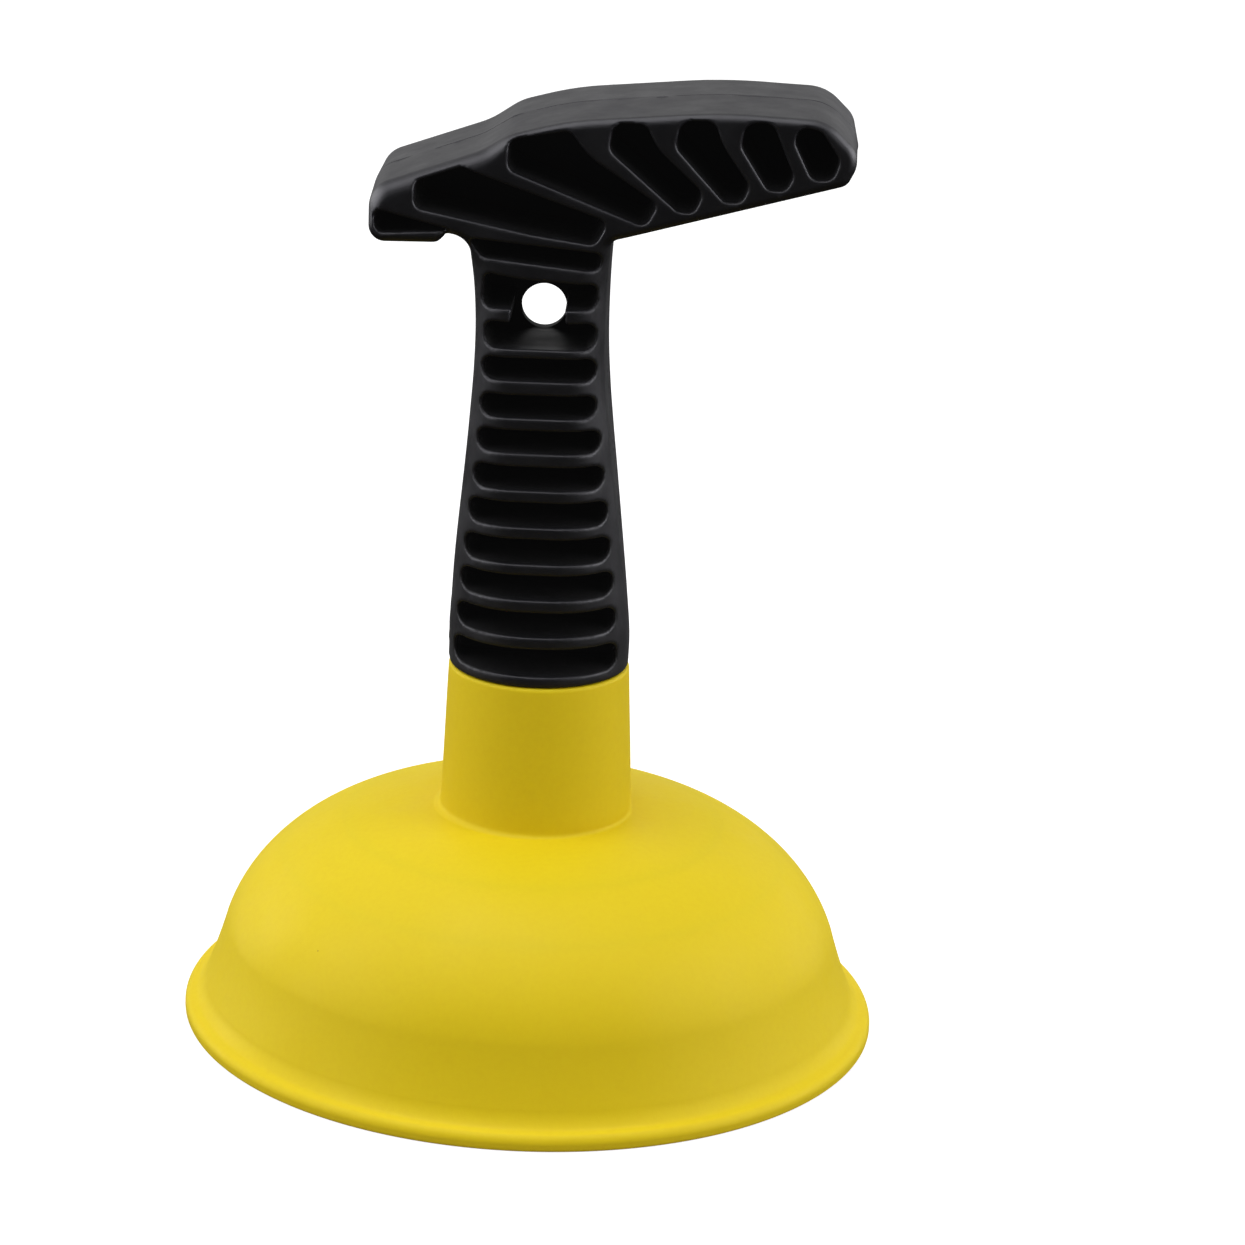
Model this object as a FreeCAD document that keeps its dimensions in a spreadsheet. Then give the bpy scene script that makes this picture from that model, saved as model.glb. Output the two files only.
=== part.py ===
import FreeCAD, Part
import Sketcher
import math
import os

# Sink plunger: a yellow rubber cup with a tapered collar, and a black moulded
# T-handle whose barbed spigot is pushed down into the collar.
# Millimetres. Origin: centre of the plane the cup's lip stands on.
# +Z runs up the handle, the T-head lies along X (long lobe towards +X), and
# its pocketed faces look towards -Y (front) and +Y (back).

Vector = FreeCAD.Vector
Constraint = Sketcher.Constraint
doc = FreeCAD.newDocument("sink_plunger")
sheet = doc.addObject("Spreadsheet::Sheet", "Dims")
SIZE = {}  # the value of each alias in the sheet

# ------------------------------------------------------------------ sheet


def cell(alias, content):
    """Add a row to the sheet: a number, or a formula that starts with '='."""
    row = len(SIZE) + 1
    is_formula = isinstance(content, str)
    sheet.set("A%d" % row, alias)
    sheet.set("B%d" % row, content if is_formula else repr(float(content)))
    sheet.setAlias("B%d" % row, alias)
    if is_formula:
        doc.recompute()
        content = sheet.get("B%d" % row)
    SIZE[alias] = float(content)
    return alias


def cells(**contents):
    for alias, content in contents.items():
        cell(alias, content)


def outline(name, corners):
    """Cells for a rounded outline; each corner becomes (x, z, bend) aliases."""
    return [
        (cell("%s_x_%d" % (name, i), x),
         cell("%s_z_%d" % (name, i), z),
         cell("%s_bend_%d" % (name, i), bend))
        for i, (x, z, bend) in enumerate(corners, 1)
    ]


# Cup, outside, from the lip up to the collar's top
cells(
    rim_radius=67.5,  # widest point of the cup
    rim_foot_round=0.6,  # rounded lower corner of the lip's edge
    rim_flat_radius="=rim_radius - rim_foot_round",
    rim_edge_low="=rim_foot_round",  # the lip's edge stands upright from here
    rim_edge_high=2.4,  # to here
    rim_corner=0.8,  # rounded upper corner of the lip's edge
    flare_end_radius=67.09,  # where that corner runs out into the flare
    flare_end_height=3.10,
    flare_bend=12.5,  # concave bend of the flare
    waist_radius=60.78,  # where the flare leaves the dome
    waist_height=12.5,
    shoulder_bend=30.0,  # lower part of the dome
    crown_bend=48.85,  # upper part of the dome
    shoulder_radius=42.65,  # where the two bends meet
    shoulder_height=36.66,
    crown_radius=19.6,  # where the collar's root fillet starts
    crown_height=43.02,
    root_fillet=1.05,
    collar_low_radius=18.55,
    collar_low_height=44.05,
    collar_top_radius=17.40,
    collar_roll=0.9,  # rounded top edge of the collar
    collar_height=72.8,
    roll_radius="=collar_top_radius - collar_roll",
    roll_height="=collar_height - collar_roll",
)
# Cup, inside, and the handle's socket
cells(
    rim_inner_radius=64.3,
    inner_flare_bend=18.8,
    inner_waist_radius=57.80,
    inner_waist_height=12.14,
    dome_wall=3.0,  # difference between the dome's outer and inner bends
    inner_shoulder_bend="=shoulder_bend - dome_wall",
    inner_crown_bend="=crown_bend - dome_wall",
    inner_shoulder_radius=40.97,
    inner_shoulder_height=34.17,
    inner_crown_radius=19.26,
    inner_crown_height=40.0,
    socket_floor_height=46.0,
    socket_radius=12.0,
    socket_lead=0.6,  # chamfer at the socket's mouth
    lead_radius="=socket_radius + socket_lead",
    lead_height="=collar_height - socket_lead",
)
# Limits of the zones that divide the moulding, and of the tools that cut them
cells(
    lip_zone_height=5.0,
    wall_zone_height=33.0,
    collar_zone_radius=21.4,
    zone_tool_radius=90.0,
    zone_tool_bottom=-5.0,
    zone_tool_top=90.0,
    collar_tool_bottom=30.0,
    collar_tool_top=95.0,
)
# Handle
BARB_COUNT = 4
cells(
    half_depth=17.75,  # half the depth of the T-head
    web_half=1.5,  # half the thickness of the central web
    back_mouth_lift="=-web_half",
    draft_deg=1.2,  # faces taper away from the parting line
    head_edge_fillet=1.4,
    cut_depth=20.0,
    hole_height=143.6,
    hole_offset=0.5,  # the hanging hole lies this far to -X
    hole_radius=4.25,
    hole_x="=-hole_offset",
    hole_edge_x="=hole_x + hole_radius",
    hole_front="=-2 * web_half",  # ends of the bore along Y, clear of the web
    hole_back="=2 * web_half",
    spigot_core=10.6,
    spigot_barb=12.3,
    spigot_bore=7.4,
    spigot_tip=47.2,
    spigot_root=74.5,
    bore_top=69.5,
    barb_start=0.6,  # plain length below the first barb
    barb_pitch=5.0,
    barb_length=3.4,
)
for i in range(BARB_COUNT):
    cell("barb_low_%d" % (i + 1), "=spigot_tip + barb_start + %d * barb_pitch" % i)
    cell("barb_high_%d" % (i + 1), "=barb_low_%d + barb_length" % (i + 1))

# Outlines seen from the front: (x, z, bend) of each corner before rounding.
HEAD = outline("head", [
    (-32.9, 158.0, 3.4), (-19.7, 158.2, 2.2), (-18.0, 159.9, 1.0), (12.3, 159.5, 8.0),
    (54.6, 171.3, 2.8), (57.3, 177.0, 5.0), (50.4, 183.8, 8.5), (31.0, 184.7, 110.0),
    (3.4, 182.3, 60.0), (-6.9, 179.5, 11.0), (-12.5, 175.9, 16.0), (-33.1, 168.6, 5.5),
])
WEB = outline("web", [
    (-32.2, 159.4, 1.2), (-16.6, 160.7, 0.8), (-12.3, 155.5, 1.0), (-11.9, 148.0, 5.0),
    (-12.2, 126.0, 20.0), (-15.2, 94.0, 20.0), (-16.4, 74.3, 0.9), (16.4, 74.3, 0.9),
    (15.3, 94.0, 20.0), (11.4, 126.0, 20.0), (10.7, 146.0, 10.0), (11.5, 153.5, 5.0),
    (11.8, 158.0, 1.5), (13.8, 161.0, 1.0), (53.6, 172.1, 1.5), (54.7, 176.2, 1.5),
    (49.8, 183.0, 5.0), (31.0, 184.1, 40.0), (3.5, 181.7, 20.0), (-6.8, 178.9, 5.0),
    (-12.4, 175.3, 5.0), (-32.2, 167.6, 2.5),
])
# Around the hanging hole the ribs are cut away, higher up and down behind
# than in front.
MOUTH_FRONT = outline("hole_front_mouth", [
    (-5.95, 139.8, 5.0), (4.25, 139.8, 5.0), (4.25, 150.0, 5.0), (-5.95, 150.0, 5.0),
])
MOUTH_BACK = outline("hole_back_mouth", [
    (-6.2, 134.3, 4.9), (4.0, 134.3, 4.9), (4.0, 149.2, 4.9), (-6.2, 149.2, 4.9),
])
# Pockets of the T-head, from the short lobe to the long one, then the slots
# of the grip, from the head down.
RECESSES = {
    "pocket_a": [(-31.5, 164.8, 1.2), (-31.4, 160.2, 1.5), (-16.8, 161.1, 0.25)],
    "pocket_b": [
        (-24.2, 170.0, 1.6), (-24.2, 165.1, 1.9), (-2.4, 160.8, 14.0),
        (9.2, 159.2, 1.9), (11.5, 163.7, 1.7), (-15.6, 173.0, 2.2),
    ],
    "pocket_c": [
        (-7.1, 178.3, 2.1), (-7.2, 172.8, 2.3), (18.2, 162.9, 1.8),
        (20.4, 167.3, 1.7), (7.6, 175.7, 14.0), (3.9, 180.4, 2.0),
    ],
    "pocket_d": [
        (11.8, 182.0, 2.2), (11.2, 177.0, 2.4), (24.0, 166.0, 1.7), (26.9, 165.8, 1.6),
        (28.6, 169.6, 2.6), (19.9, 177.5, 12.0), (17.7, 182.0, 2.3),
    ],
    "pocket_e": [
        (24.0, 182.8, 2.4), (23.2, 177.9, 2.3), (32.4, 168.0, 2.0), (35.5, 168.0, 1.8),
        (36.8, 171.2, 2.2), (31.6, 178.6, 16.0), (30.1, 182.9, 2.2),
    ],
    "pocket_f": [
        (35.7, 182.8, 2.3), (35.0, 178.4, 2.3), (40.1, 170.5, 2.0),
        (43.3, 170.4, 1.9), (44.7, 173.2, 2.2), (40.5, 182.9, 2.3),
    ],
    "pocket_g": [
        (45.3, 182.5, 1.9), (44.6, 179.5, 2.1), (48.0, 172.6, 2.1),
        (51.7, 172.7, 2.1), (52.9, 176.4, 2.4), (49.3, 181.7, 2.4),
    ],
    "slot_a": [
        (-14.6, 159.9, 0.8), (-11.6, 156.3, 1.9), (8.0, 154.3, 1.2),
        (10.4, 154.5, 1.4), (10.2, 157.7, 1.4),
    ],
    "slot_b": [
        (-10.9, 153.5, 1.5), (-11.4, 146.6, 1.9), (9.8, 146.8, 1.9),
        (9.8, 151.6, 1.6), (-3.4, 152.3, 20.0),
    ],
}
# The rectangular slots, from slot_c down: x of both sides, z of both edges.
PLAIN_SLOTS = [
    (-10.7, 9.8, 139.1, 144.2), (-10.9, 10.0, 133.0, 137.4), (-11.0, 10.2, 125.9, 130.3),
    (-11.5, 11.2, 119.1, 123.5), (-12.0, 12.0, 111.9, 116.5), (-12.8, 12.9, 104.7, 109.5),
    (-13.5, 13.6, 97.4, 102.3), (-14.2, 14.4, 90.3, 95.2), (-14.8, 15.1, 82.9, 87.8),
    (-15.4, 15.6, 75.0, 80.5),
]
SLOT_TOP_BEND, SLOT_LOW_BEND = 2.0, 2.2
for letter, (left, right, low, high) in zip("cdefghijkl", PLAIN_SLOTS):
    RECESSES["slot_" + letter] = [
        (left, high, SLOT_TOP_BEND), (left, low, SLOT_LOW_BEND),
        (right, low, SLOT_LOW_BEND), (right, high, SLOT_TOP_BEND),
    ]
RECESSES = {name: outline(name, corners) for name, corners in RECESSES.items()}

# Level sections of the grip, from the collar up into the head:
# height, reach to -X, reach to +X, half depth, corner bend.
GRIP = [
    (72.9, 17.15, 17.15, 17.15, 17.05), (78.5, 17.05, 17.10, 17.20, 16.6),
    (86.0, 16.65, 16.65, 17.30, 15.2), (94.0, 16.05, 15.95, 17.40, 13.4),
    (102.0, 15.35, 15.05, 17.50, 11.8), (110.0, 14.55, 14.05, 17.60, 10.3),
    (118.0, 13.80, 13.05, 17.65, 9.2), (126.0, 13.15, 12.20, 17.70, 8.2),
    (134.0, 12.75, 11.60, 17.72, 7.4), (144.0, 12.75, 11.45, 17.74, 6.8),
    (150.5, 13.15, 11.60, 17.74, 6.3), (155.5, 14.00, 11.90, 17.74, 5.6),
    (158.6, 15.60, 12.40, 17.74, 4.6), (160.6, 18.40, 13.30, 17.74, 3.8),
]
SECTIONS = []
for letter, (height, left, right, deep, bend) in zip("abcdefghijklmn", GRIP):
    name = "grip_" + letter
    lift = cell(name + "_height", height)
    x_left, x_right = cell(name + "_left", -left), cell(name + "_right", right)
    y_front, y_back = cell(name + "_front", -deep), cell(name + "_back", deep)
    bend = cell(name + "_bend", bend)
    SECTIONS.append((name, lift, [
        (x_left, y_front, bend), (x_right, y_front, bend),
        (x_right, y_back, bend), (x_left, y_back, bend),
    ]))
doc.recompute()

# --------------------------------------------------------------- sketches
# Sketcher's numbers for the points of a curve, and for the sketch's own axes.
START, END = 1, 2
ORIGIN = (-1, 1)
X_AXIS, Y_AXIS = -1, -2
# The side of the travel on which an arc's centre lies.
LEFT, RIGHT = 1, -1


def new_sketch(body, name, role, lift=None):
    """Sketch on an origin plane, lifted along the plane's normal by an alias."""
    sketch = body.newObject("Sketcher::SketchObject", name)
    base = next(item for item in body.Origin.OriginFeatures if item.Role == role)
    sketch.AttachmentSupport = [(base, "")]
    sketch.MapMode = "FlatFace"
    if lift is not None:
        sketch.setExpression("AttachmentOffset.Base.z", "Dims." + lift)
    return sketch


def pin(sketch, curve, point, x, y, bound):
    """Hold a point at two aliases; None puts it on the sketch's axis instead."""
    for axis, kind, alias in ((Y_AXIS, "DistanceX", x), (X_AXIS, "DistanceY", y)):
        if alias is None:
            sketch.addConstraint(Constraint("PointOnObject", curve, point, axis))
        else:
            distance = Constraint(kind, *ORIGIN, curve, point, SIZE[alias])
            bound.append((sketch.addConstraint(distance), alias))


def bind(sketch, bound):
    """Tie numbered constraints to their aliases."""
    for index, alias in bound:
        sketch.setExpression("Constraints[%d]" % index, "Dims." + alias)


def add_arc(sketch, centre, radius, first, last, is_left):
    """Arc from first to last; returns its number and the points at both."""
    circle = Part.Circle(centre, Vector(0, 0, 1), radius)
    angles = [math.atan2(p.y - centre.y, p.x - centre.x) for p in (first, last)]
    if is_left:
        return sketch.addGeometry(Part.ArcOfCircle(circle, *angles), False), START, END
    angles.reverse()
    return sketch.addGeometry(Part.ArcOfCircle(circle, *angles), False), END, START


def draw_profile(sketch, corners):
    """Closed chain of (x, y) or (x, y, bend, side) corners, all sizes aliases.
    With a bend, an arc of that radius leads to the next corner."""
    count = len(corners)
    points = [Vector(*(SIZE[alias] if alias else 0 for alias in c[:2]), 0) for c in corners]
    curves, bound = [], []
    for i, corner in enumerate(corners):
        first, last = points[i], points[(i + 1) % count]
        if len(corner) == 2:
            line = sketch.addGeometry(Part.LineSegment(first, last), False)
            curves.append((line, START, END))
            continue
        bend, side = corner[2:]
        radius, chord = SIZE[bend], last - first
        # the floor keeps the root real when the arc is a half circle
        offset = math.sqrt(max(radius ** 2 - (chord.Length / 2) ** 2, 1e-9))
        to_left = Vector(-chord.y, chord.x, 0).normalize()
        centre = (first + last) * 0.5 + to_left * offset * side
        curves.append(add_arc(sketch, centre, radius, first, last, side == LEFT))
        radius_index = sketch.addConstraint(Constraint("Radius", curves[-1][0], radius))
        bound.append((radius_index, bend))
    for i in range(count):
        curve, _, end = curves[i]
        follower, start, _ = curves[(i + 1) % count]
        sketch.addConstraint(Constraint("Coincident", curve, end, follower, start))
    for (curve, start, _), corner in zip(curves, corners):
        pin(sketch, curve, start, corner[0], corner[1], bound)
    bind(sketch, bound)
    return sketch


def draw_rounded(sketch, corners):
    """Closed outline of straight sides with rounded (x, y, bend) corners.
    The sharp corners stay as construction points that the sheet positions."""
    count = len(corners)
    points = [Vector(SIZE[x], SIZE[y], 0) for x, y, _ in corners]
    rounds = []
    for i in range(count):
        before, here, after = points[i - 1], points[i], points[(i + 1) % count]
        back, ahead = (before - here).normalize(), (after - here).normalize()
        radius = SIZE[corners[i][2]]
        half_angle = back.getAngle(ahead) / 2
        setback = radius / math.tan(half_angle)
        centre = here + (back + ahead).normalize() * (radius / math.sin(half_angle))
        is_left = (here - before).cross(after - here).z > 0
        rounds.append((centre, radius, here + back * setback, here + ahead * setback, is_left))
    lines = []
    for i in range(count):
        leave, arrive = rounds[i][3], rounds[(i + 1) % count][2]
        lines.append(sketch.addGeometry(Part.LineSegment(leave, arrive), False))
    bound = []
    for i, (x, y, bend) in enumerate(corners):
        arc, start, end = add_arc(sketch, *rounds[i])
        sketch.addConstraint(Constraint("Tangent", lines[i - 1], END, arc, start))
        sketch.addConstraint(Constraint("Tangent", arc, end, lines[i], START))
        bound.append((sketch.addConstraint(Constraint("Radius", arc, SIZE[bend])), bend))
        corner = sketch.addGeometry(Part.Point(points[i]), True)
        sketch.addConstraint(Constraint("PointOnObject", corner, START, lines[i - 1]))
        sketch.addConstraint(Constraint("PointOnObject", corner, START, lines[i]))
        pin(sketch, corner, START, x, y, bound)
    bind(sketch, bound)
    return sketch


# --------------------------------------------------------------- features


def turn(body, kind, name, sketch, axis="V_Axis"):
    """Full turn of a sketch about one of its axes."""
    turned = body.newObject("PartDesign::" + kind, name)
    turned.Profile = sketch
    turned.ReferenceAxis = (sketch, [axis])
    turned.Angle = 360.0
    return turned


def extrude(body, kind, name, sketch, length, **settings):
    """Pad or pocket whose length is a formula on the sheet."""
    extruded = body.newObject("PartDesign::" + kind, name)
    extruded.Profile = sketch
    for setting, value in settings.items():
        setattr(extruded, setting, value)
    extruded.setExpression("Length", length)
    return extruded


ADDS, REMOVES = 1, -1
volumes = [0.0]  # of the handle after each step


def confirm(feature, sign):
    """Recompute, and stop if the step did not change the volume as it should."""
    doc.recompute()
    volume = feature.Shape.Volume
    if (volume - volumes[-1]) * sign <= 0:
        raise RuntimeError("%s: volume %.1f to %.1f" % (feature.Name, volumes[-1], volume))
    volumes.append(volume)


# -------------------------------------------------------------------- cup


def turn_cup():
    """The whole rubber moulding, drawn as one turned profile."""
    body = doc.addObject("PartDesign::Body", "CupMoulding")
    sketch = draw_profile(new_sketch(body, "CupProfile", "XZ_Plane"), [
        ("rim_inner_radius", None),
        ("rim_flat_radius", None, "rim_foot_round", LEFT),
        ("rim_radius", "rim_edge_low"),
        ("rim_radius", "rim_edge_high", "rim_corner", LEFT),
        ("flare_end_radius", "flare_end_height", "flare_bend", RIGHT),
        ("waist_radius", "waist_height", "shoulder_bend", LEFT),
        ("shoulder_radius", "shoulder_height", "crown_bend", LEFT),
        ("crown_radius", "crown_height", "root_fillet", RIGHT),
        ("collar_low_radius", "collar_low_height"),
        ("collar_top_radius", "roll_height", "collar_roll", LEFT),
        ("roll_radius", "collar_height"),
        ("lead_radius", "collar_height"),
        ("socket_radius", "lead_height"),
        ("socket_radius", "socket_floor_height"),
        (None, "socket_floor_height"),
        (None, "inner_crown_height"),
        ("inner_crown_radius", "inner_crown_height", "inner_crown_bend", RIGHT),
        ("inner_shoulder_radius", "inner_shoulder_height", "inner_shoulder_bend", RIGHT),
        ("inner_waist_radius", "inner_waist_height", "inner_flare_bend", LEFT),
    ])
    turn(body, "Revolution", "CupTurned", sketch)
    doc.recompute()
    return body


def slab(name, low, high, radius):
    """A round tool between two heights, given as aliases."""
    tool = doc.addObject("Part::Cylinder", name)
    tool.setExpression("Radius", "Dims." + radius)
    tool.setExpression("Height", "Dims.%s - Dims.%s" % (high, low))
    tool.setExpression("Placement.Base.z", "Dims." + low)
    return tool


def combine(kind, name, base, tool):
    result = doc.addObject("Part::" + kind, name)
    result.Base, result.Tool = base, tool
    return result


def build_cup():
    """Divide the moulding into the zones that flex."""
    cup = turn_cup()
    lip = slab("LipTool", "zone_tool_bottom", "lip_zone_height", "zone_tool_radius")
    wall = slab("WallTool", "lip_zone_height", "wall_zone_height", "zone_tool_radius")
    upper = slab("UpperTool", "wall_zone_height", "zone_tool_top", "zone_tool_radius")
    core = slab("CoreTool", "collar_tool_bottom", "collar_tool_top", "collar_zone_radius")
    crown = combine("Cut", "CrownTool", upper, core)
    zones = [
        combine("Common", name, cup, tool)
        for name, tool in (
            ("cup_lip", lip), ("cup_wall", wall), ("cup_crown", crown), ("cup_collar", core),
        )
    ]
    doc.recompute()
    return zones


# ----------------------------------------------------------------- handle


def add_head(body):
    """T-head: two halves that taper from the parting line, with soft face edges."""
    for side, is_reversed in (("Front", False), ("Back", True)):
        sketch = draw_rounded(new_sketch(body, "HeadOutline" + side, "XZ_Plane"), HEAD)
        half = extrude(body, "Pad", "Head" + side, sketch, "Dims.half_depth",
                       Reversed=is_reversed)
        half.setExpression("TaperAngle", "-Dims.draft_deg")
        confirm(half, ADDS)

    def is_on_face(point):
        return abs(abs(point.y) - SIZE["half_depth"]) < 1e-4

    names = [
        "Edge%d" % i
        for i, edge in enumerate(half.Shape.Edges, 1)
        if all(is_on_face(vertex.Point) for vertex in edge.Vertexes)
        and is_on_face(edge.CenterOfMass)
    ]
    soft = body.newObject("PartDesign::Fillet", "HeadEdges")
    soft.Base = (half, names)
    soft.setExpression("Radius", "Dims.head_edge_fillet")
    confirm(soft, REMOVES)


def add_grip(body):
    """Grip: round where it meets the collar, almost square below the head."""
    rings = [
        draw_rounded(new_sketch(body, "Section_" + name, "XY_Plane", lift), corners)
        for name, lift, corners in SECTIONS
    ]
    doc.recompute()
    grip = body.newObject("PartDesign::AdditiveLoft", "Grip")
    grip.Profile = rings[0]
    grip.Sections = rings[1:]
    grip.Ruled = False
    confirm(grip, ADDS)


def cut_recesses(body):
    """Pockets and slots, cut right through; the web closes them afterwards."""
    for name, corners in RECESSES.items():
        name = name.capitalize()
        sketch = draw_rounded(new_sketch(body, name + "_outline", "XZ_Plane"), corners)
        cut = extrude(body, "Pocket", name, sketch, "2 * Dims.cut_depth", Midplane=True)
        confirm(cut, REMOVES)


def add_web(body):
    sketch = draw_rounded(new_sketch(body, "WebOutline", "XZ_Plane"), WEB)
    web = extrude(body, "Pad", "Web", sketch, "2 * Dims.web_half", Midplane=True)
    confirm(web, ADDS)


def add_spigot(body):
    """Spigot with ring barbs that widen upwards, cored from below."""
    corners = [("spigot_bore", "spigot_tip"), ("spigot_core", "spigot_tip")]
    for i in range(1, BARB_COUNT + 1):
        low, high = "barb_low_%d" % i, "barb_high_%d" % i
        corners += [("spigot_core", low), ("spigot_barb", high), ("spigot_core", high)]
    corners += [
        ("spigot_core", "spigot_root"), (None, "spigot_root"),
        (None, "bore_top"), ("spigot_bore", "bore_top"),
    ]
    sketch = draw_profile(new_sketch(body, "SpigotProfile", "XZ_Plane"), corners)
    confirm(turn(body, "Revolution", "Spigot", sketch), ADDS)


def cut_hanging_hole(body):
    """A bore through the web, with the ribs cut away in front and behind."""
    # the XZ plane's normal is -Y, so a positive lift moves a sketch to the front
    for name, corners, lift, is_reversed in (
        ("HoleFrontMouth", MOUTH_FRONT, "web_half", True),
        ("HoleBackMouth", MOUTH_BACK, "back_mouth_lift", False),
    ):
        sketch = draw_rounded(new_sketch(body, name + "_outline", "XZ_Plane", lift), corners)
        mouth = extrude(body, "Pocket", name, sketch, "Dims.cut_depth", Reversed=is_reversed)
        confirm(mouth, REMOVES)

    sketch = draw_profile(new_sketch(body, "HoleProfile", "XY_Plane", "hole_height"), [
        ("hole_x", "hole_front"), ("hole_edge_x", "hole_front"),
        ("hole_edge_x", "hole_back"), ("hole_x", "hole_back"),
    ])
    axis_reach = 5.0  # half length of the construction line the bore turns about
    hole_x = SIZE["hole_x"]
    line = Part.LineSegment(Vector(hole_x, -axis_reach, 0), Vector(hole_x, axis_reach, 0))
    axis = sketch.addGeometry(line, True)
    sketch.addConstraint(Constraint("Vertical", axis))
    place = sketch.addConstraint(Constraint("DistanceX", *ORIGIN, axis, START, hole_x))
    bind(sketch, [(place, "hole_x")])
    sketch.addConstraint(Constraint("DistanceY", *ORIGIN, axis, START, -axis_reach))
    sketch.addConstraint(Constraint("DistanceY", *ORIGIN, axis, END, axis_reach))
    hole = turn(body, "Groove", "HangingHole", sketch, "Axis0")
    confirm(hole, REMOVES)
    body.Tip = hole


def build_handle():
    """One plastic moulding."""
    body = doc.addObject("PartDesign::Body", "handle")
    add_head(body)
    add_grip(body)
    cut_recesses(body)
    add_web(body)
    add_spigot(body)
    cut_hanging_hole(body)
    doc.recompute()
    return body


# ----------------------------------------------------------------- export
parts = build_cup() + [build_handle()]
failed = [o.Name for o in doc.Objects if "Invalid" in o.State or "Error" in o.State]
if failed:
    raise RuntimeError("failed objects: %s" % failed)
for part in parts:
    shape = part.Shape
    if shape.isNull() or not shape.isValid() or len(shape.Solids) != 1:
        raise RuntimeError("bad shape: %s, %d solids" % (part.Label, len(shape.Solids)))
os.makedirs("parts", exist_ok=True)
for part in parts:
    part.Shape.exportStep("parts/%s.step" % part.Label)
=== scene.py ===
"""Looks of a sink plunger: a yellow rubber cup and a black moulded T-handle.

The cup stands on z = 0, turned about the Z axis. The T-head lies in the XZ plane, its long
lobe towards +X and its front towards -Y. Shapes are drawn in millimetres.
"""

import math

import bpy
import numpy as np
import openvdb
from mathutils import Matrix, Vector


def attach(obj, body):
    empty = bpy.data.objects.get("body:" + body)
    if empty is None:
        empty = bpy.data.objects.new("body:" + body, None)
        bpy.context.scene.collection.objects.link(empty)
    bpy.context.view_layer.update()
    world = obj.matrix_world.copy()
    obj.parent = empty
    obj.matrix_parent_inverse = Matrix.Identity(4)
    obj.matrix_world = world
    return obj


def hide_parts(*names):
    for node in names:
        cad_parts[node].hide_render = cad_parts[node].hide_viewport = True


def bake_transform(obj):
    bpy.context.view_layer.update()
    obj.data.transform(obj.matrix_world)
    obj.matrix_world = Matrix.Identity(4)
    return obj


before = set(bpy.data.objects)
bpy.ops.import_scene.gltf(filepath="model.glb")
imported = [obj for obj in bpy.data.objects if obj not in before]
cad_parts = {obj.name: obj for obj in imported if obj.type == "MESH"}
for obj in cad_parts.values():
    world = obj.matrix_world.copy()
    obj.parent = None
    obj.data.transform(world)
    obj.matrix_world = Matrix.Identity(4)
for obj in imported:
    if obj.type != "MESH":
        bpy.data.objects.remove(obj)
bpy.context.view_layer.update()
MM = 0.001


# ---------------------------------------------------------------- handle sizes
# Outline of the head from the grip's +X side over the top to its -X side: x, z, bend radius.
HEAD = [
    (12.3, 159.5, 1.6), (54.6, 171.3, 2.8), (57.3, 177.0, 5.0), (50.4, 183.8, 8.5),
    (31.0, 184.7, 110.0), (3.4, 182.3, 60.0), (-6.9, 179.5, 11.0), (-12.5, 175.9, 16.0),
    (-33.1, 168.6, 5.5), (-32.9, 158.0, 3.4), (-19.7, 158.2, 2.2), (-18.0, 159.9, 1.0),
    (-14.1, 160.1, 4.2),
]
# Mouths of the shaped pockets, in the head and at the grip's top: x, z, bend radius.
SHAPED_POCKETS = [
    [(-31.5, 164.8, 1.2), (-31.4, 160.2, 1.5), (-16.8, 161.1, 0.25)],
    [(-24.2, 170.0, 1.6), (-24.2, 165.1, 1.9), (-2.4, 160.8, 14.0), (9.2, 159.2, 1.9),
     (11.5, 163.7, 1.7), (-15.6, 173.0, 2.2)],
    [(-7.1, 178.3, 2.1), (-7.2, 172.8, 2.3), (18.2, 162.9, 1.8), (20.4, 167.3, 1.7),
     (7.6, 175.7, 14.0), (3.9, 180.4, 2.0)],
    [(11.8, 182.0, 2.2), (11.2, 177.0, 2.4), (24.0, 166.0, 1.7), (26.9, 165.8, 1.6),
     (28.6, 169.6, 2.6), (19.9, 177.5, 12.0), (17.7, 182.0, 2.3)],
    [(24.0, 182.8, 2.4), (23.2, 177.9, 2.3), (32.4, 168.0, 2.0), (35.5, 168.0, 1.8),
     (36.8, 171.2, 2.2), (31.6, 178.6, 16.0), (30.1, 182.9, 2.2)],
    [(35.7, 182.8, 2.3), (35.0, 178.4, 2.3), (40.1, 170.5, 2.0), (43.3, 170.4, 1.9),
     (44.7, 173.2, 2.2), (40.5, 182.9, 2.3)],
    [(45.3, 182.5, 1.9), (44.6, 179.5, 2.1), (48.0, 172.6, 2.1), (51.7, 172.7, 2.1),
     (52.9, 176.4, 2.4), (49.3, 181.7, 2.4)],
    [(-14.6, 159.9, 0.8), (-11.6, 156.3, 1.9), (8.0, 154.3, 1.2), (10.4, 154.5, 1.4),
     (10.2, 157.7, 1.4)],
    [(-10.9, 153.5, 1.5), (-11.4, 146.6, 1.9), (9.8, 146.8, 1.9), (9.8, 151.6, 1.6),
     (-3.4, 152.3, 20.0)],
]
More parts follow.
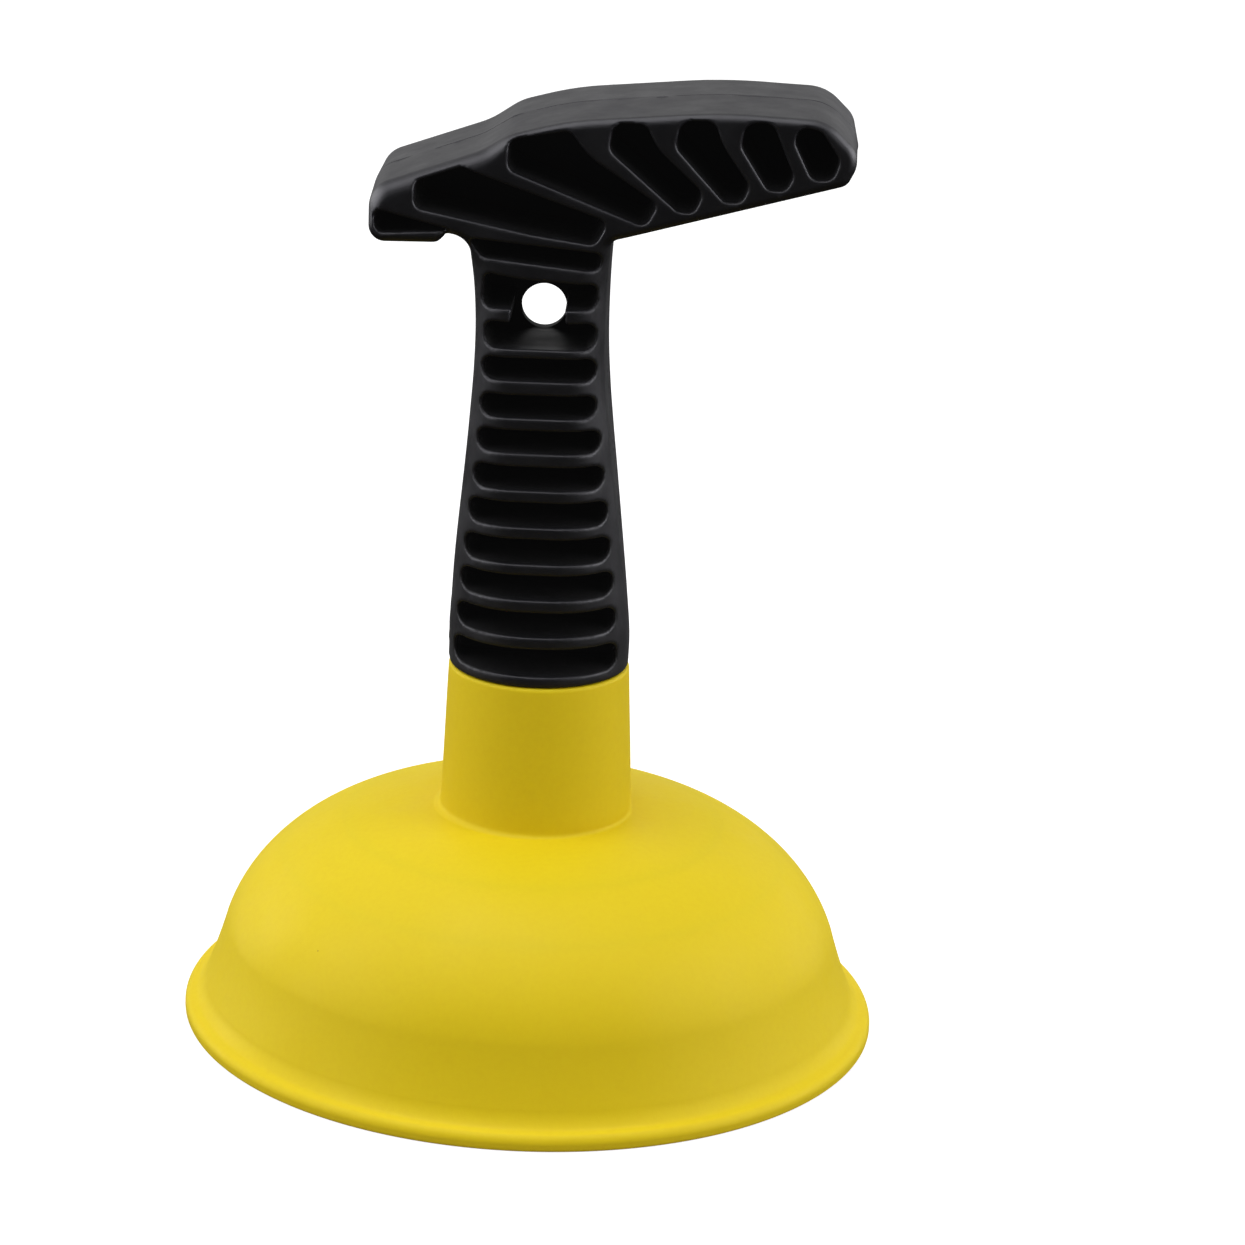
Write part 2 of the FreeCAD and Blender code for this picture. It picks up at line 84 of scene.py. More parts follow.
# Ladder of four-cornered pockets down the grip: left x, right x, low z, high z.
LADDER = [
    (-10.7, 9.8, 139.1, 144.2), (-10.9, 10.0, 133.0, 137.4), (-11.0, 10.2, 125.9, 130.3),
    (-11.5, 11.2, 119.1, 123.5), (-12.0, 12.0, 111.9, 116.5), (-12.8, 12.9, 104.7, 109.5),
    (-13.5, 13.6, 97.4, 102.3), (-14.2, 14.4, 90.3, 95.2), (-14.8, 15.1, 82.9, 87.8),
    (-15.4, 15.6, 75.0, 80.5),
]
POCKETS = SHAPED_POCKETS + [
    [(left, high, 2.0), (left, low, 2.2), (right, low, 2.2), (right, high, 2.0)]
    for left, right, low, high in LADDER
]

# The grip's sides: height, reach to -X, reach to +X, half depth, edge bend.
GRIP = np.array([
    (72.9, 16.75, 17.70, 17.15, 17.05), (78.5, 16.80, 17.75, 17.20, 16.6),
    (86.0, 16.50, 17.05, 17.30, 15.2), (94.0, 16.05, 16.10, 17.40, 13.4),
    (102.0, 15.40, 15.10, 17.50, 11.8), (110.0, 14.65, 14.10, 17.60, 10.3),
    (118.0, 13.95, 13.10, 17.65, 9.2), (126.0, 13.35, 12.20, 17.70, 8.2),
    (134.0, 12.85, 11.60, 17.72, 7.4), (144.0, 12.75, 11.45, 17.74, 6.8),
    (150.5, 13.15, 11.60, 17.74, 6.3), (157.0, 13.95, 11.95, 17.75, 5.2),
])
REACH_LEFT, REACH_RIGHT, GRIP_DEPTH, GRIP_BEND = 1, 2, 3, 4
GRIP_FOOT, GRIP_TOP = GRIP[0, 0], GRIP[-1, 0]
SIDES_END = 156.0  # height where the grip's sides hand over to the head's outline
OUTLINE_LOW = 40.0  # the outline runs on below the foot, which is then cut flat
FOOT_BEND = 0.45

HALF_DEPTH = 17.75
WEB_HALF = 1.5
DRAFT = math.radians(1.2)
HEAD_BEND = 1.55
SHORT_LOBE_BEND = 1.5  # added to the head's bend on the short lobe
CROWN_REACH, CROWN_FLATNESS = 6.5, 90.0  # the head's faces fall away this near the outline
POCKET_TAPER = 0.020  # narrowing per millimetre of depth
POCKET_FLOOR_BEND, POCKET_MOUTH_BEND = 0.55, 0.52

# Hanging hole through the web, and the clearings in the ribs before and behind it.
HOLE_X, HOLE_Z, HOLE_RADIUS = -0.5, 143.6, 4.25
HOLE_HALF_DEPTH = 3.0
HOLE_BEND = 0.38
CLEARING_FLOOR_BEND = 0.4
CLEARING_FRONT = [(-5.95, 139.8, 5.0), (4.25, 139.8, 5.0), (4.25, 150.0, 5.0), (-5.95, 150.0, 5.0)]
CLEARING_BACK = [(-6.2, 134.3, 4.9), (4.0, 134.3, 4.9), (4.0, 149.2, 4.9), (-6.2, 149.2, 4.9)]

# Deeper stretches of the parting line over the head: from x, to x, depth.
CHIPS = [
    (-29.9, -28.9, 0.9), (-28.0, -27.0, 0.7), (-21.3, -17.0, 1.0), (-16.4, -10.2, 0.55),
    (-10.2, -7.6, 0.8), (-2.5, 0.5, 0.95), (1.2, 6.4, 0.35), (22.4, 30.1, 0.35),
    (34.4, 44.1, 0.45), (44.9, 53.8, 0.6), (53.8, 57.0, 0.45),
]
CHIP_FADE = 0.35

# Grid the handle is sampled on.
GRID_X, GRID_Z, GRID_Y_REACH = (-34.6, 57.4), (72.0, 186.0), 18.7
CELL, QUICK_CELL = 0.36, 0.5
FIELD_LIMIT = 1.0


# ---------------------------------------------------------------- shape helpers
def grip_at(height, column):
    """A column of the grip's table at any height, on a smooth cubic so nothing kinks."""
    xs, ys = GRIP[:, 0], GRIP[:, column]
    slope = np.gradient(ys, xs)
    i = np.clip(np.searchsorted(xs, height) - 1, 0, len(xs) - 2)
    span = xs[i + 1] - xs[i]
    u = np.clip((height - xs[i]) / span, 0, 1)
    return (
        (2 * u**3 - 3 * u**2 + 1) * ys[i] + (u**3 - 2 * u**2 + u) * span * slope[i]
        + (-2 * u**3 + 3 * u**2) * ys[i + 1] + (u**3 - u**2) * span * slope[i + 1]
    )


def short_turn(first, last):
    """The signed turn from one angle to another, the short way round."""
    return (last - first + math.pi) % (2 * math.pi) - math.pi


def swing(centre, radius, first, turn, steps):
    """Points on a circle from an angle through a turn, both ends included."""
    return [
        centre + radius * np.array([math.cos(first + turn * t), math.sin(first + turn * t)])
        for t in np.linspace(0, 1, steps + 1)
    ]


def round_corners(corners, step=0.25):
    """Points along a polygon of (x, z, radius) corners; those without a radius stay sharp."""
    points = []
    for i, (x, z, radius) in enumerate(corners):
        here = np.array([x, z], float)
        if radius == 0:
            points.append(here)
            continue
        before = np.array(corners[i - 1][:2], float) - here
        after = np.array(corners[(i + 1) % len(corners)][:2], float) - here
        before, after = before / np.linalg.norm(before), after / np.linalg.norm(after)
        half = math.acos(np.clip(before @ after, -1, 1)) / 2
        cut = radius / math.tan(half)
        middle = before + after
        centre = here + middle / np.linalg.norm(middle) * radius / math.sin(half)
        start, end = here + before * cut - centre, here + after * cut - centre
        first = math.atan2(start[1], start[0])
        turn = short_turn(first, math.atan2(end[1], end[0]))
        steps = max(2, int(abs(turn) * radius / step) + 1)
        points += swing(centre, radius, first, turn, steps)
    return np.array(points)


def outline_distance(outline, X, Z):
    """Signed distance from every grid point to a closed outline, negative inside."""
    best = np.full(X.shape, 1e9)
    inside = np.zeros(X.shape, bool)
    for (x0, z0), (x1, z1) in zip(outline, np.roll(outline, -1, axis=0)):
        run, rise = x1 - x0, z1 - z0
        square = run * run + rise * rise
        if square < 1e-12:
            continue
        dx, dz = X - x0, Z - z0
        t = np.clip((dx * run + dz * rise) / square, 0, 1)
        best = np.minimum(best, (dx - t * run) ** 2 + (dz - t * rise) ** 2)
        if z0 != z1:
            inside ^= ((z0 > Z) != (z1 > Z)) & (X < x0 + (Z - z0) * run / rise)
    best = np.sqrt(best)
    return np.where(inside, -best, best)


def both(a, b, radius):
    """What lies in both shapes, its meeting edge rounded to a radius."""
    outside = np.hypot(np.maximum(a + radius, 0), np.maximum(b + radius, 0))
    return np.minimum(np.maximum(a, b), -radius) + outside


def without(a, b, radius):
    """Shape a less shape b, the mouth's edge rounded."""
    return both(a, -b, radius)


def smooth(start, end, value):
    """Eases from 0 at start to 1 at end; start may be the larger."""
    t = np.clip((value - start) / (end - start), 0, 1)
    return t * t * (3 - 2 * t)


def value_noise(points, seed, scale):
    """Smooth noise in -1..1 at 1-D positions, from a seeded table."""
    table = np.random.default_rng(seed).uniform(-1, 1, 512)
    place = np.asarray(points) / scale
    i = np.floor(place).astype(int)
    u = place - i
    u = u * u * (3 - 2 * u)
    return table[i % 512] * (1 - u) + table[(i + 1) % 512] * u


# ---------------------------------------------------------------- materials
def srgb(*channels):
    """An opaque linear colour from 0-255 sRGB channels."""
    parts = [c / 255 for c in channels]
    linear = [p / 12.92 if p <= 0.04045 else ((p + 0.055) / 1.055) ** 2.4 for p in parts]
    return (*linear, 1.0)


def grey(level):
    return (level, level, level, 1)


class Graph:
    """Short ways of adding nodes to a cleared node tree."""

    def __init__(self, tree):
        self.tree = tree
        tree.nodes.clear()

    def add(self, kind):
        return self.tree.nodes.new("ShaderNode" + kind)

    def put(self, socket, value):
        """Links a socket, or sets a plain value."""
        if isinstance(value, bpy.types.NodeSocket):
            self.tree.links.new(value, socket)
        else:
            socket.default_value = value

    def calc(self, operation, a, b=0.0):
        node = self.add("Math")
        node.operation = operation
        self.put(node.inputs[0], a)
        self.put(node.inputs[1], b)
        return node.outputs[0]

    def remap(self, value, low, high, to_low=0.0, to_high=1.0, interpolation="LINEAR"):
        node = self.add("MapRange")
        node.clamp = True
        node.interpolation_type = interpolation
        self.put(node.inputs["Value"], value)
        node.inputs["From Min"].default_value = low
        node.inputs["From Max"].default_value = high
        node.inputs["To Min"].default_value = to_low
        node.inputs["To Max"].default_value = to_high
        return node.outputs["Result"]


class Material(Graph):
    """A Principled material whose textures sit in object space."""

    def __init__(self, name):
        self.material = bpy.data.materials.new(name)
        self.material.use_nodes = True
        super().__init__(self.material.node_tree)
        output = self.add("OutputMaterial")
        self.shader = self.add("BsdfPrincipled")
        self.put(output.inputs["Surface"], self.shader.outputs[0])
        self.place = self.add("TexCoord").outputs["Object"]

    def set(self, name, value):
        self.put(self.shader.inputs[name], value)

    def noise(self, scale, detail=2.0, roughness=0.5):
        node = self.add("TexNoise")
        node.inputs["Scale"].default_value = scale
        node.inputs["Detail"].default_value = detail
        node.inputs["Roughness"].default_value = roughness
        self.put(node.inputs["Vector"], self.place)
        return node.outputs["Fac"]

    def cells(self, scale):
        node = self.add("TexVoronoi")
        node.inputs["Scale"].default_value = scale
        self.put(node.inputs["Vector"], self.place)
        return node.outputs["Distance"]

    def mix(self, factor, a, b):
        node = self.add("Mix")
        node.data_type = "RGBA"
        self.put(node.inputs["Factor"], factor)
        self.put(node.inputs["A"], a)
        self.put(node.inputs["B"], b)
        return node.outputs["Result"]

    def bump(self, height, strength, distance, normal=None):
        node = self.add("Bump")
        node.inputs["Strength"].default_value = strength
        node.inputs["Distance"].default_value = distance
        self.put(node.inputs["Height"], height)
        if normal is not None:
            self.put(node.inputs["Normal"], normal)
        return node.outputs["Normal"]


def yellow_rubber():
    m = Material("yellow_rubber")
    broad = m.noise(scale=9.0, detail=3.0, roughness=0.55)
    fine = m.noise(scale=900.0, detail=3.0, roughness=0.6)
    grain = m.noise(scale=3200.0)
    base = m.mix(m.remap(broad, low=0.35, high=0.68), srgb(229, 204, 24), srgb(224, 198, 18))
    base = m.mix(m.remap(fine, low=0.35, high=0.75, to_high=0.28), base, srgb(219, 188, 16))
    # tiny dark specks, kept to a few areas
    speck = m.remap(m.cells(scale=150.0), low=0.012, high=0.03, to_low=1.0, to_high=0.0)
    sparse = m.remap(m.noise(scale=34.0, detail=1.0), low=0.66, high=0.70)
    speck = m.calc("MULTIPLY", speck, sparse)
    base = m.mix(m.calc("MULTIPLY", speck, 0.75), base, srgb(150, 92, 22))
    m.set("Base Color", base)
    patches = m.noise(scale=60.0, detail=4.0, roughness=0.6)
    m.set("Roughness", m.remap(patches, low=0.3, high=0.7, to_low=0.50, to_high=0.62))
    m.set("Specular IOR Level", 0.22)
    m.set("Subsurface Weight", 0.12)
    m.set("Subsurface Radius", (1.0, 0.75, 0.12))
    m.set("Subsurface Scale", 0.002)
    relief = m.bump(grain, strength=0.16, distance=0.0001)
    ripple = m.noise(scale=420.0, detail=3.0, roughness=0.55)
    m.set("Normal", m.bump(ripple, strength=0.22, distance=0.00012, normal=relief))
    return m.material


def black_plastic():
    m = Material("black_plastic")
    broad = m.noise(scale=24.0, detail=3.0, roughness=0.55)
    fine = m.noise(scale=1500.0, roughness=0.55)
    base = m.mix(m.remap(broad, low=0.3, high=0.7), srgb(8, 8, 10), srgb(11, 11, 14))
    # painted highlight: edges, found by their pointiness, are made paler as if catching the light
    edge = m.remap(m.add("NewGeometry").outputs["Pointiness"], low=0.518, high=0.60, to_high=0.28)
    base = m.mix(edge, base, srgb(40, 40, 48))
    # faint scuffs
    scuff = m.noise(scale=240.0, detail=6.0, roughness=0.7)
    base = m.mix(m.remap(scuff, low=0.60, high=0.78, to_high=0.20), base, srgb(36, 36, 42))
    # painted light: the pockets take an even grey, paler than the faces, so that they don't go
    # fully black
    recess = m.add("Attribute")
    recess.attribute_name = "recess"
    recess = recess.outputs["Fac"]
    m.set("Base Color", m.mix(recess, base, srgb(27, 27, 28)))
    patches = m.noise(scale=130.0, detail=4.0, roughness=0.6)
    m.set("Roughness", m.remap(patches, low=0.3, high=0.7, to_low=0.36, to_high=0.50))
    # painted shade: faces that look down, which see only the cup, and the pockets get little sheen
    normal = m.add("SeparateXYZ")
    m.put(normal.inputs[0], m.add("NewGeometry").outputs["Normal"])
    under = m.remap(m.calc("MULTIPLY", normal.outputs["Z"], -1.0), low=0.10, high=0.50)
    sheen_shade = m.calc("MAXIMUM", recess, under)
    m.set("Specular IOR Level", m.remap(sheen_shade, low=0.0, high=1.0, to_low=0.5, to_high=0.08))
    m.set("Specular Tint", (0.93, 0.92, 1.0, 1.0))
    # a trace of glow stands for stray light in the lens, so that no pocket goes fully black
    m.set("Emission Color", (1.0, 0.98, 1.0, 1.0))
    m.set("Emission Strength", 0.0018)
    relief = m.bump(fine, strength=0.12, distance=0.00006)
    ripple = m.noise(scale=300.0, detail=3.0)
    m.set("Normal", m.bump(ripple, strength=0.10, distance=0.00012, normal=relief))
    return m.material


RUBBER = yellow_rubber()
PLASTIC = black_plastic()


# ---------------------------------------------------------------- handle
def add_object(name, mesh, material):
    piece = bpy.data.objects.new(name, mesh)
    bpy.context.scene.collection.objects.link(piece)
    mesh.materials.append(material)
    return piece


def array_mesh(name, verts, quads, tris):
    """A mesh straight from arrays, which is much quicker for a few hundred thousand faces."""
    mesh = bpy.data.meshes.new(name)
    mesh.vertices.add(len(verts))
    mesh.vertices.foreach_set("co", np.asarray(verts, np.float32).ravel())
    loops = np.concatenate([quads.ravel(), tris.ravel()]).astype(np.int32)
    quad_starts = np.arange(len(quads)) * 4
    tri_starts = len(quads) * 4 + np.arange(len(tris)) * 3
    starts = np.concatenate([quad_starts, tri_starts]).astype(np.int32)
    mesh.loops.add(len(loops))
    mesh.loops.foreach_set("vertex_index", loops)
    mesh.polygons.add(len(starts))
    mesh.polygons.foreach_set("loop_start", starts)
    mesh.polygons.foreach_set("use_smooth", np.ones(len(starts), bool))
    mesh.update(calc_edges=True)
    mesh.validate()
    return mesh


def depth_steps(cell):
    """Grid lines across the depth: fine at the parting line, widening to a full cell."""
    steps, y = [0.0], 0.0
    while y < GRID_Y_REACH:
        if y < 0.62:
            y += 0.09
        elif y < 2.0:
            y += min(cell, 0.12 + (y - 0.62) * 0.25)
        else:
            y += cell
        steps.append(y)
    return np.array([-v for v in steps[:0:-1]] + steps)


def handle_outline():
    """The whole silhouette: up the +X side, over the head and down the -X side."""
    heights = np.linspace(GRIP_FOOT, SIDES_END, 110)
    left = -grip_at(heights, REACH_LEFT)
    right = grip_at(heights, REACH_RIGHT)
    head = round_corners([(right[-1], SIDES_END, 0)] + HEAD + [(left[-1], SIDES_END, 0)])
    return np.concatenate([
        [(right[0], OUTLINE_LOW)],
        np.stack([right, heights], 1)[:-1],
        head,
        np.stack([left, heights], 1)[::-1][1:],
        [(left[0], OUTLINE_LOW)],
    ])


class HandlePlan:
    """The handle's 2-D fields over the plane of the head, indexed [x, z]."""

    def __init__(self, cell):
        self.cell = cell
        self.xs = np.arange(*GRID_X, cell)
        self.zs = np.arange(*GRID_Z, cell)
        self.X, self.Z = np.meshgrid(self.xs, self.zs, indexing="ij")
        self.side = outline_distance(handle_outline(), self.X, self.Z)
        self.mouth = self.pocket_mouths()
        self.front = outline_distance(round_corners(CLEARING_FRONT), self.X, self.Z)
        self.back = outline_distance(round_corners(CLEARING_BACK), self.X, self.Z)
        self.shape_faces()
        self.shape_parting_line()

    def pocket_mouths(self, far=9.0, margin=3):
        """Distance to the nearest pocket's outline, worked out only near each pocket."""
        mouth = np.full(self.X.shape, far)
        for corners in POCKETS:
            outline = round_corners(corners)
            low, high = outline.min(0) - margin, outline.max(0) + margin
            near = (
                slice(*np.searchsorted(self.xs, [low[0], high[0]])),
                slice(*np.searchsorted(self.zs, [low[1], high[1]])),
            )
            distance = outline_distance(outline, self.X[near], self.Z[near])
            mouth[near] = np.minimum(mouth[near], distance)
        return mouth

    def shape_faces(self):
        """Half depth of the faces and bend of their edges: full at the foot, small on the head."""
        X, Z = self.X, self.Z
        across = smooth(-19.5, -13.0, X) * (1 - smooth(12.5, 17.0, X))
        on_grip = np.where(Z < 154.0, 1.0, (1 - smooth(154.0, 162.5, Z)) * across)
        self.on_head = 1 - on_grip
        heights = np.clip(self.zs, GRIP_FOOT, GRIP_TOP)
        lobe = smooth(-4.0, -12.0, X) * smooth(161.0, 167.0, Z)
        small = HEAD_BEND + SHORT_LOBE_BEND * lobe
        self.edge = small + (grip_at(heights, GRIP_BEND) - small) * on_grip
        near_edge = np.clip(CROWN_REACH + self.side, 0, CROWN_REACH)
        self.face = grip_at(heights, GRIP_DEPTH) - near_edge**2 / CROWN_FLATNESS * self.on_head

    def shape_parting_line(self):
        """The mould halves meet at y = 0: a fine groove, chips, and flash here and there."""
        # way round the handle, as an angle about a point on its axis times a typical radius
        along = np.arctan2(self.Z - 120.0, self.X) * 60.0
        coarse = value_noise(along, seed=11, scale=2.3)
        fine = value_noise(along, seed=12, scale=0.7)
        self.flash = np.clip(coarse + 0.35 * fine - 0.05, 0, 1)
        gap = 0.22 + np.clip(0.6 * value_noise(along, seed=13, scale=6.0), -0.15, 0.35)
        chips = np.zeros_like(gap)
        for start, end, depth in CHIPS:
            fade_in = smooth(start - CHIP_FADE, start + CHIP_FADE, self.X)
            fade_out = 1 - smooth(end - CHIP_FADE, end + CHIP_FADE, self.X)
            chips = np.maximum(chips, depth * fade_in * fade_out)
        ragged = 0.75 + 0.25 * value_noise(along, seed=17, scale=0.9)
        self.chips = chips * (smooth(164.0, 166.0, self.Z) * ragged)
        self.gap = np.maximum(gap, 1.5 * self.chips)


def handle_field(plan, ys):
    """Distance field of the moulding, indexed [x, y, z], negative inside."""

    def raised(flat):
        return flat[:, None, :]

    Y = ys[None, :, None]
    A = np.abs(Y)
    side = raised(plan.side) + raised(math.tan(DRAFT) * plan.on_head) * A
    side = side + 0.30 * raised(plan.gap) * np.exp(-((Y - 0.05) / 0.20) ** 2)
    side = side - 0.20 * raised(plan.flash) * np.exp(-((Y + 0.34) / 0.16) ** 2)
    solid = both(side, A - raised(plan.face), radius=raised(plan.edge))
    solid = both(solid, GRIP_FOOT - raised(plan.Z), radius=FOOT_BEND)
    # pockets on both faces, narrowing a little towards the web
    walls = raised(plan.mouth) + POCKET_TAPER * (HALF_DEPTH - A)
    pocket = both(walls, WEB_HALF - A, radius=POCKET_FLOOR_BEND)
    solid = without(solid, pocket, radius=POCKET_MOUTH_BEND)
    # ribs cut away round the hanging hole, in front and behind, then the bore itself
    for clearing, floor in ((plan.front, Y + WEB_HALF), (plan.back, WEB_HALF - Y)):
        cut = both(raised(clearing), floor, radius=CLEARING_FLOOR_BEND)
        solid = without(solid, cut, radius=HOLE_BEND)
    from_hole = raised(np.hypot(plan.X - HOLE_X, plan.Z - HOLE_Z))
    bore = both(from_hole - HOLE_RADIUS, A - HOLE_HALF_DEPTH, radius=0.1)
    solid = without(solid, bore, radius=HOLE_BEND)
    return np.clip(solid, -FIELD_LIMIT, FIELD_LIMIT).astype(np.float32)


def store_recess(mesh, plan):
    """Attribute for how deep a point lies in a pocket: 0 at the mouth, 1 towards the web. The
    plastic paints its pockets' light and shade with it.
    """
    places = np.empty(len(mesh.vertices) * 3, np.float32)
    mesh.vertices.foreach_get("co", places)
    x, y, z = (places.reshape(-1, 3) / MM).T
    i = np.clip(np.rint((x - plan.xs[0]) / plan.cell).astype(int), 0, len(plan.xs) - 1)
    k = np.clip(np.rint((z - plan.zs[0]) / plan.cell).astype(int), 0, len(plan.zs) - 1)
    clearing = np.where(y < 0, plan.front[i, k], plan.back[i, k])
    hollow = np.minimum(plan.mouth[i, k], clearing)
    depth = plan.face[i, k] - np.abs(y)
    recess = smooth(0.75, 0.15, hollow) * smooth(0.35, 4.0, depth)
    # the chips in the parting line count as recessed too, and take the same painted grey and shade
    near_line = np.exp(-(((y - 0.05) / 0.22) ** 2)) * (plan.side[i, k] > -1.6)
    recess = np.maximum(recess, plan.chips[i, k] * near_line)
    attribute = mesh.attributes.new("recess", "FLOAT", "POINT")
    attribute.data.foreach_set("value", recess.astype(np.float32))


def build_handle(cell):
    """The moulded T-handle, meshed from its distance field."""
    plan = HandlePlan(cell)
    ys = depth_steps(cell)
    grid = openvdb.FloatGrid(FIELD_LIMIT)
    grid.copyFromArray(handle_field(plan, ys))
    points, tris, quads = grid.convertToPolygons(isovalue=0.0, adaptivity=0.0)
    # grid steps back to millimetres
    verts = np.stack([
        np.interp(points[:, axis], np.arange(len(lines)), lines)
        for axis, lines in enumerate((plan.xs, ys, plan.zs))
    ], 1)
    quads, tris = quads.astype(np.int64), tris.astype(np.int64)
    # a negative enclosed volume means that the faces look inwards
    a, b, c, d = (verts[quads[:, corner]] for corner in range(4))
    if (a * np.cross(b, c)).sum() + (a * np.cross(c, d)).sum() < 0:
        quads, tris = quads[:, ::-1], tris[:, ::-1]
    mesh = array_mesh("handle_moulding", verts * MM, quads, tris)
    piece = add_object("handle_moulding", mesh, PLASTIC)
    store_recess(mesh, plan)
    return piece


# ---------------------------------------------------------------- turned pieces
def lathe(name, profile, material, sharp, segments=384, closed=True):
    """A turned piece from (radius, height) points. Rings listed in sharp keep a crisp edge."""
    verts, rings = [], []
    angles = np.linspace(0, 2 * math.pi, segments, endpoint=False)
    cosines, sines = np.cos(angles), np.sin(angles)
    for radius, z in profile:
        if radius < 1e-6:
            rings.append([len(verts)])
            verts.append((0.0, 0.0, z * MM))
        else:
            rings.append(list(range(len(verts), len(verts) + segments)))
            verts += zip(radius * cosines * MM, radius * sines * MM, [z * MM] * segments)
    faces = []
    for i in range(len(rings) if closed else len(rings) - 1):
        a, b = rings[i], rings[(i + 1) % len(rings)]
        for k in range(segments):
            after = (k + 1) % segments
            if len(a) == 1:
                faces.append((a[0], b[after], b[k]))
            elif len(b) == 1:
                faces.append((a[k], a[after], b[0]))
            else:
                faces.append((a[k], a[after], b[after], b[k]))
    mesh = bpy.data.meshes.new(name)
    mesh.from_pydata([tuple(v) for v in verts], [], faces)
    mesh.validate()
    mesh.update()
    mesh.polygons.foreach_set("use_smooth", [True] * len(mesh.polygons))
    piece = add_object(name, mesh, material)

    sharp_ring = np.full(len(verts), -1)
    for i in sharp:
        sharp_ring[rings[i]] = i
    ends = np.zeros(len(mesh.edges) * 2, np.int32)
    mesh.edges.foreach_get("vertices", ends)
    first, second = sharp_ring[ends.reshape(-1, 2)].T
    marks = (first >= 0) & (first == second)
    attribute = mesh.attributes.get("sharp_edge")
    attribute = attribute or mesh.attributes.new("sharp_edge", "BOOLEAN", "EDGE")
    attribute.data.foreach_set("value", marks)
    return piece


def arc(start, end, radius, left, steps):
    """Arc between two points, without the first, its centre left or right of the travel."""
    start, end = np.array(start, float), np.array(end, float)
    chord = end - start
    length = np.linalg.norm(chord)
    towards = np.array([-chord[1], chord[0]]) / length * (1 if left else -1)
    centre = (start + end) / 2 + towards * math.sqrt(max(radius**2 - (length / 2) ** 2, 0))
    first = math.atan2(*(start - centre)[::-1])
    turn = short_turn(first, math.atan2(*(end - centre)[::-1]))
    return [tuple(point) for point in swing(centre, radius, first, turn, steps)[1:]]


# The dome's section is a quarter ellipse about (DOME_R, DOME_Z).
DOME_R, DOME_Z = 19.26, 8.9
DOME_REACH, DOME_RISE = 41.74, 34.1
WALL = 3.0
SEAM_LOW, SEAM_HIGH = 33.0, 39.8  # heights where bell, crown ring and collar meet
# Corners of the bell's section: radius, height.
LIP_INNER, LIP_OUTER = (64.3, 0.0), (66.9, 0.0)
LIP_EDGE, BEAD_FOOT = (67.5, 0.75), (67.5, 1.35)
BEAD_TOP = (65.35, 3.3)
CURL_TOP = (63.26, 6.6)
DOME_START = (59.55, 17.8)
FLARE_TOP = (57.39, 14.40)
# Corners of the collar's section: radius, height.
DOME_END_R = 19.6
COLLAR_FOOT = (18.55, 44.05)
COLLAR_TOP = (17.40, 71.9)
ROLL_END = (16.50, 72.8)
SOCKET = [(15.0, 72.8), (12.6, 72.8), (12.0, 72.2), (12.0, 60.0), (12.0, 46.0), (0.0, 46.0)]
LEAN = 0.7


def dome(angle, inset=0.0):
    """A point of the dome's section; inset moves it inwards."""
    return (
        DOME_R + (DOME_REACH - inset) * math.cos(angle),
        DOME_Z + (DOME_RISE - inset) * math.sin(angle),
    )


def at_height(z, inset=0.0):
    """The dome's angle at a height."""
    return math.asin((z - DOME_Z) / (DOME_RISE - inset))


def dome_run(first, last, inset=0.0, step=0.75):
    """Points along the dome, a hair-thin band at each end so neighbouring pieces shade alike."""
    length = 38.0 * abs(last - first)
    count = max(6, int(length / step))
    band = 0.06 / length
    fractions = [0, band, *np.linspace(0, 1, count + 1)[1:-1], 1 - band, 1]
    return [dome(first + (last - first) * t, inset) for t in fractions]


def eased(points, near, reach):
    """Rounds off a corner in a run of points, within a distance of it."""
    points = np.array(points)
    for _ in range(40):
        relaxed = points.copy()
        relaxed[1:-1] = 0.25 * points[:-2] + 0.5 * points[1:-1] + 0.25 * points[2:]
        distance = np.hypot(points[:, 0] - near[0], points[:, 1] - near[1])
        points = points + (relaxed - points) * np.clip(1 - distance / reach, 0, 1)[:, None]
    return [tuple(point) for point in points]


def build_bell():
    """Lip and bell, from the flat under the lip up to the low seam and back down inside."""
    edge = arc(LIP_OUTER, LIP_EDGE, radius=0.75, left=True, steps=8) + [(67.5, 1.05), BEAD_FOOT]
    # a round bead along the lip; above it the wall curls, then runs nearly straight to the dome
    bead = arc(BEAD_FOOT, BEAD_TOP, radius=1.95, left=True, steps=28)
    curl = arc(BEAD_TOP, CURL_TOP, radius=7.4, left=False, steps=36)
    wall = arc(CURL_TOP, DOME_START, radius=120.0, left=False, steps=80)
    side = eased(edge[-1:] + bead + curl + wall, near=BEAD_TOP, reach=1.3)[1:]
    outer = [LIP_INNER, (65.4, 0.0), LIP_OUTER] + edge + side
    outer += dome_run(at_height(DOME_START[1]), at_height(SEAM_LOW))[1:]
    inner = dome_run(at_height(SEAM_LOW, WALL), at_height(FLARE_TOP[1], WALL), WALL)
    inner += arc(FLARE_TOP, LIP_INNER, radius=33.0, left=True, steps=24)[:-1]
    top = len(outer) - 1
    return lathe("cup_bell", outer + inner, RUBBER, sharp=(top, top + 1))


def build_crown_ring():
    """The band of the dome between the two seams."""
    outer = dome_run(at_height(SEAM_LOW), at_height(SEAM_HIGH))
    inner = dome_run(at_height(SEAM_HIGH, WALL), at_height(SEAM_LOW, WALL), WALL)
    profile = outer + inner
    sharp = (0, len(outer) - 1, len(outer), len(profile) - 1)
    return lathe("cup_crown_ring", profile, RUBBER, sharp)


